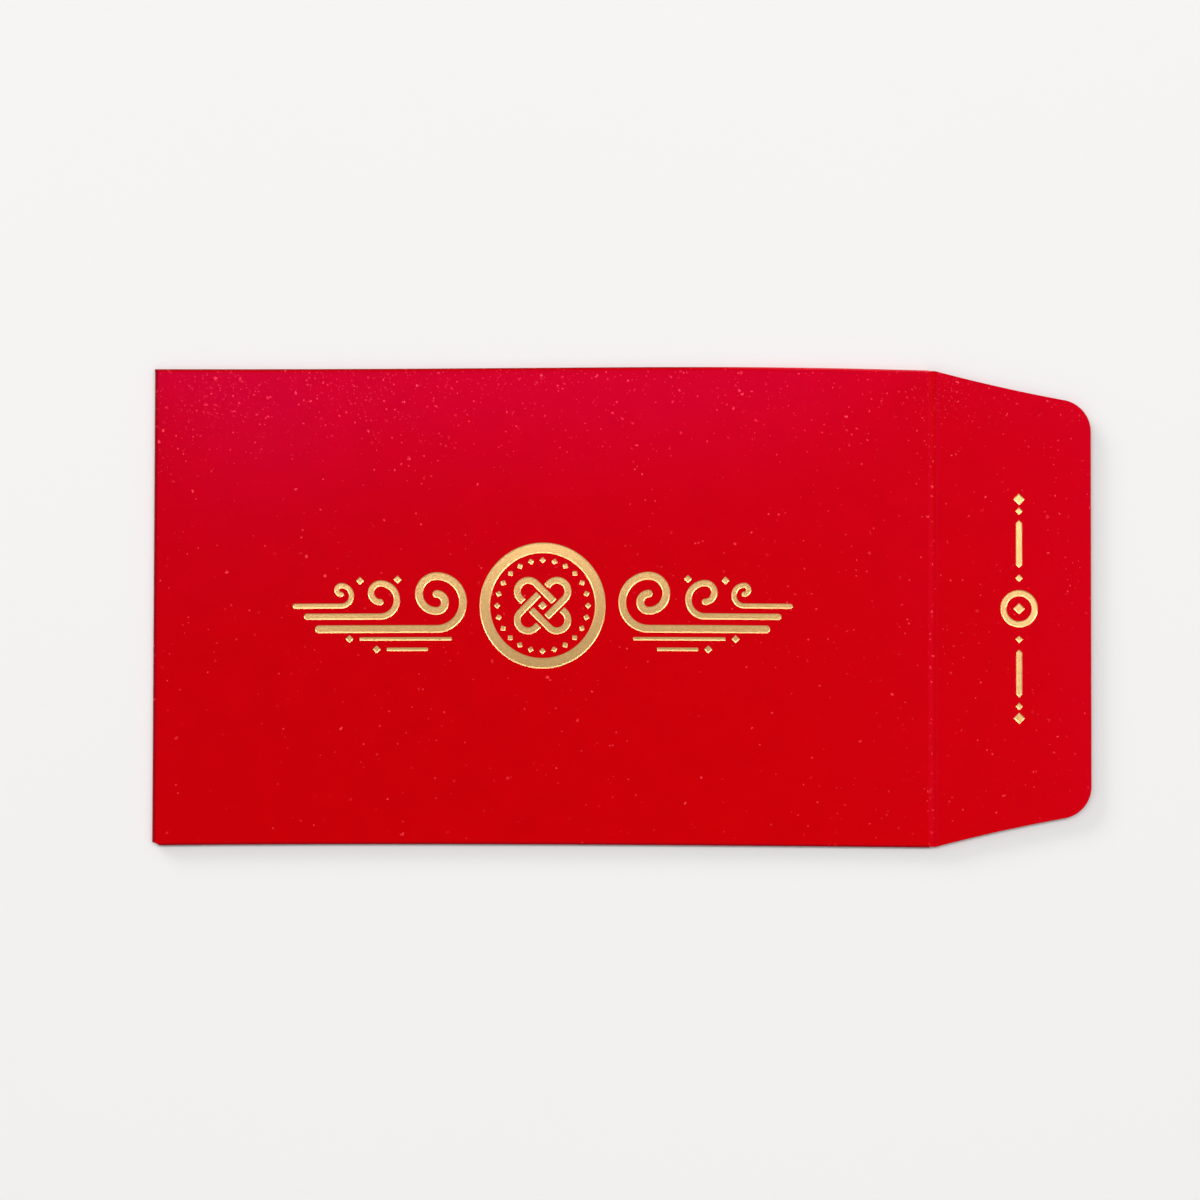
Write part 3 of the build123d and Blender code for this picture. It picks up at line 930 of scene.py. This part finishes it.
def addFold(shell, line, outward, lowest, slant):  # arcs round a fold's axis, the first cut aslant
    outward, radius = np.array(outward, float), (sheetZ - lowest) / 2
    angles = np.append(0.0, np.linspace(sheet["foldStart"], np.pi, sheet["foldSteps"]))
    inner = (radius - edgeDrop)[:, None]
    flat = line[None, None] + outward * (inner * np.sin(angles))[..., None, None]
    heading = (line[1] - line[0]) / np.linalg.norm(line[1] - line[0])
    flat[:, :, 0] += slant * np.sin(np.minimum(angles, np.pi / 2))[:, None] * heading
    solid = raised(flat, (sheetZ - radius + inner * np.cos(angles))[..., None])
    uv = line[None] + outward * (radius * angles)[:, None, None]
    for skin in (solid[0], solid[-1]):
        addGrid(shell, skin, uv=uv)
    for cut in (solid[:, :, 0], solid[:, :, -1], solid[:, -1]):  # two ends, and the end of the lower leg
        addGrid(shell, cut, slot=1)


def buildFront(panelFoils, lidFoils):  # flat fields with their stamps, crease strip, cut edge and folds
    rowY = np.linspace(frontLow[1], frontHigh[1], sheet["rows"])
    columnX = np.linspace(frontLow[0], mouthX, sheet["columns"])
    mouthLine, bottomLine = linePoints(mouthX, rowY), linePoints(frontLow[0], rowY)
    upperLine, seamLine = linePoints(columnX, frontHigh[1]), linePoints(columnX, frontLow[1])
    border = np.concatenate([seamLine, mouthLine[1:], upperLine[::-1][1:], bottomLine[::-1][1:-1]])
    strip = sheet["creaseColumns"]
    flapRows = np.linspace(skinEdge[-strip], skinEdge[strip - 1], sheet["rows"])
    flapBorder = np.concatenate([flapRows, skinEdge[strip:-strip]])
    share = np.linspace(0, 1, sheet["rows"])[:, None, None]
    stripGrid = skinEdge[::-1][None, :strip] * (1 - share) + skinEdge[None, :strip] * share

    shell = newShell()
    for fieldBorder, foils in ((border, panelFoils), (flapBorder, lidFoils)):
        stamps = [shape for shapes in foils.values() for shape in shapes]
        holes = [loop for shape in stamps for loop in motifRings(shape, [stamp["lip"] + stamp["rim"]])]
        points, faces = fillField(fieldBorder, holes)
        addPatch(shell, onSheet(points), faces)
        for shape in stamps:
            addPatch(shell, *pressedPatch(shape))
        points, faces = fillField(fieldBorder)
        addPatch(shell, onSheet(points, -cardThickness), faces)
    addGrid(shell, onSheet(stripGrid))
    addGrid(shell, onSheet(stripGrid, -cardThickness))
    addGrid(shell, cutWall(outline, sheetTop(skinEdge), outlineInsets), slot=1)

    # Both folds at the nicked corner start at one point and are cut back aslant towards their outer sides
    trim = sheet["cornerTrim"]
    beyond = linePoints([backFoldLow[0] + trim], [frontHigh[1]])
    nick = sheet["nickRise"] - (frontLow[1] - seamFoldLow[1])
    addFold(shell, np.concatenate([beyond, upperLine]), (0, 1), backFoldLow[2], -trim)
    addFold(shell, seamLine, (0, -1), seamFoldLow[2], seamFoldLow[0] - frontLow[0])
    addFold(shell, bottomLine, (-1, 0), bottomFoldLow[2], nick)
    end = np.concatenate([beyond, upperLine[:1]])
    addGrid(shell, cutWall(end, sheetTop(end)), slot=1)

    piece = buildPiece("card_front", shell, [cardFace, cardCut])
    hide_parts("front_panel", "flap_crease", "closing_flap", "back_fold", "seam_fold", "bottom_fold")
    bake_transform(piece)


# Flat layers behind the front

layers = dict(
    pointPitch=2.0, cornerRadius=0.08, seamSlope=7.0, bottomSlope=8.0, bottomCorner=4.0,
    joinReach=1e-3,  # points this near to a layer's side at its fold belong to the join
)


# Flat sheet with rounded cut edges, its corners moved by the shifts, and plain along the side of its box that
# joins a fold: joinAxis is 0 for X and 1 for Y, joinEnd 0 for low and 1 for high
def buildLayer(node, shifts, radii, joinAxis, joinEnd):
    low, high = box = nodeBox(node)
    corners = np.array([low[:2], (high[0], low[1]), high[:2], (low[0], high[1])]) + shifts
    loop = dividedLoops([roundedLoop(corners, radii)], layers["pointPitch"])[0]
    insets = rightOf(unit(np.roll(loop, -1, axis=0) - np.roll(loop, 1, axis=0)))
    insets[np.abs(loop[:, joinAxis] - box[joinEnd][joinAxis]) < layers["joinReach"]] = 0.0
    points, faces = fillField(loop - insets * sheet["edgeRound"])
    shell = newShell()
    for height in (high[2], low[2]):
        addPatch(shell, raised(points, height), faces)
    addGrid(shell, cutWall(loop, high[2], insets), slot=1, closed=True)
    piece = buildPiece("card_" + node, shell, [cardFace, cardCut])
    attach(piece, "pocket")
    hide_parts(node)


def buildLayers():  # the back panel, and two tabs that narrow away from their folds
    sharp, corner = layers["cornerRadius"], layers["bottomCorner"]
    seam, bottom = layers["seamSlope"], layers["bottomSlope"]
    buildLayer("back_panel", 0.0, sharp, 1, 1)
    buildLayer("seam_tab", [(0, 0), (0, 0), (-seam, 0), (seam, 0)], sharp, 1, 0)
    buildLayer("bottom_tab", [(0, 0), (0, bottom), (0, -bottom), (0, 0)],
               [sharp, corner, corner, sharp], 0, 0)


def buildFoils(foils, body):  # one piece of film for each foil node
    for name, shapes in foils.items():
        shell = newShell()
        for shape in shapes:
            addFilm(shell, shape)
        piece = buildPiece(name.replace("foil_", "film_"), shell, [foilMetal])
        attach(piece, body)
        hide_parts(name)


panelFoils, lidFoils = frontFoils(), flapFoils()
buildFront(panelFoils, lidFoils)
buildLayers()
buildFoils(panelFoils, "pocket")
buildFoils(lidFoils, "flap")
for name in ("seam_glue", "bottom_glue"):
    frame["nodes"][name].material_slots[0].material = driedGlue
print("pieces built and set on their bodies")


# Floor, light and camera

stage = dict(
    flatRadius=4.5, rimRadius=9.0, rimHeight=1.6, rings=48, steps=96,
    firstRadius=1e-4,  # of the small face in the middle
    ringSpread=1.3,  # above 1 the rings lie closer in the middle
    low=(0.885, 0.882, 0.876), high=(0.900, 0.897, 0.892),
    patches=dict(Scale=6.0, Detail=3.0), rough=0.9,
    far=(0.84, 0.836, 0.832),  # what the camera and the metal see of the floor far off
    farRise=(0.35, 1.3),
)


def seenDirectly(tree):  # 1 for what the camera sees, also by way of metal, and 0 for light on the object
    rays = newNode(tree, "ShaderNodeLightPath").outputs
    return mathNode("MAXIMUM", rays["Is Camera Ray"], rays["Is Glossy Ray"])


def paleFloorMaterial():  # faint patches that take the object's shadow, and one plain colour far off
    material, tree, shader = newMaterial("paleFloor")
    place = objectPlace(tree)
    feed(shader, {
        "Base Color": mixColour(noiseNode(place, stage["patches"])[0], stage["low"], stage["high"]),
        "Roughness": stage["rough"],
        "Specular IOR Level": 0.0,
    })
    far = product(ramp(vectorNode("LENGTH", place)["Value"], *stage["farRise"]), seenDirectly(tree))
    plain = newNode(tree, "ShaderNodeEmission")
    feed(plain, {"Color": stage["far"]})
    blend = addNode("ShaderNodeMixShader", {0: far, 1: shader.outputs[0], 2: plain.outputs[0]})
    feed(tree.nodes["Material Output"], {"Surface": blend.outputs[0]})
    return material


def buildFloor():  # disc that is flat in the middle and rises to its rim along a half cosine
    radius = np.linspace(0.0, 1.0, stage["rings"]) ** stage["ringSpread"] * stage["rimRadius"]
    radius[0] = stage["firstRadius"]
    rise = shareOf(radius, stage["flatRadius"], stage["rimRadius"])
    height = stage["rimHeight"] * (1 - np.cos(np.pi * rise)) / 2
    turn = np.linspace(0, 2 * np.pi, stage["steps"], endpoint=False)
    points = raised(radius[:, None, None] * spokes(turn), height[:, None])
    faces = gridFaces(*points.shape[:2], closed=True)[:, ::-1].tolist()
    mesh = bpy.data.meshes.new("floor")
    mesh.from_pydata(points.reshape(-1, 3).tolist(), [], [*faces, list(range(stage["steps"]))])
    mesh.shade_smooth()
    mesh.materials.append(paleFloorMaterial())
    addObject("floor", mesh)


# Each lamp is a rectangle facing a point on the floor: its place, that point, width, height, power, colour
lamps = dict(
    window=((-4.08, 4.08, 1.66), (0.0, 0.0, 0.0), 3.50, 1.36, 186.0, (1.0, 0.985, 0.97)),
    leftBox=((-0.46, 0.33, 1.60), (-0.46, 0.33, 0.0), 0.35, 0.25, 1.6, (1.0, 0.99, 0.99)),
    topBox=((0.10, 0.40, 1.60), (0.10, 0.0, 0.0), 2.10, 0.25, 11.6, (1.0, 0.99, 0.99)),
    rightBox=((0.60, 0.15, 1.60), (0.60, 0.15, 0.0), 0.40, 0.80, 2.2, (1.0, 0.99, 0.99)),
)
sky = dict(
    horizon=(0.12, 0.12, 0.12), ring=(0.50, 0.495, 0.497), overhead=(0.32, 0.317, 0.318),
    ringRise=(0.1, 0.6),  # height of the direction over which the ring of light comes in
    overheadRise=(0.86, 0.98),  # and over which it dims again to straight above
    backdrop=(0.84, 0.836, 0.832),  # pale walls that the camera and the metal see
    backdropFall=(0.22, 0.60, 1.0, 0.0),  # and the height over which they end
)
cameraPlace = dict(
    place=(-1.46, -13.85, 600.0), turn=(1.484, 0.296, 0.131),  # millimetres and degrees
    focalPixels=2829.5, framePixels=1200, sensor=36.0, clipStart=0.01,
)


def buildLights():  # area lamps that the camera doesn't see
    for name, (place, aim, width, height, power, colour) in lamps.items():
        light = bpy.data.lights.new(name, "AREA")
        light.shape = "RECTANGLE"
        light.size, light.size_y = width, height
        light.energy = power
        light.color = colour
        holder = addObject(name, light)
        holder.location = place
        holder.rotation_euler = (Vector(aim) - Vector(place)).to_track_quat("-Z", "Y").to_euler()
        holder.visible_camera = False


def buildSky():  # room light by the height of its direction: a ring between a dim horizon and a dim overhead
    world = bpy.data.worlds.new("softRoom")
    world.use_nodes = True
    tree = world.node_tree
    height = addNode("ShaderNodeSeparateXYZ", {0: objectPlace(tree)}).outputs[2]
    colour = mixColour(ramp(height, *sky["ringRise"]), sky["horizon"], sky["ring"])
    colour = mixColour(ramp(height, *sky["overheadRise"]), colour, sky["overhead"])
    walls = product(seenDirectly(tree), ramp(height, *sky["backdropFall"]))
    feed(tree.nodes["Background"], {"Color": mixColour(walls, colour, sky["backdrop"])})
    bpy.context.scene.world = world


def buildCamera():  # the photograph's place and lens, from the outline of the envelope
    data = bpy.data.cameras.new("camera")
    data.sensor_width = cameraPlace["sensor"]
    data.lens = cameraPlace["focalPixels"] / cameraPlace["framePixels"] * cameraPlace["sensor"]
    data.clip_start = cameraPlace["clipStart"]
    holder = addObject("camera", data)
    holder.location = [value * mm for value in cameraPlace["place"]]
    holder.rotation_euler = [math.radians(angle) for angle in cameraPlace["turn"]]
    bpy.context.scene.camera = holder


buildFloor()
buildLights()
buildSky()
buildCamera()
bpy.context.scene.view_settings.view_transform = "Standard"
print("floor, light and camera set")
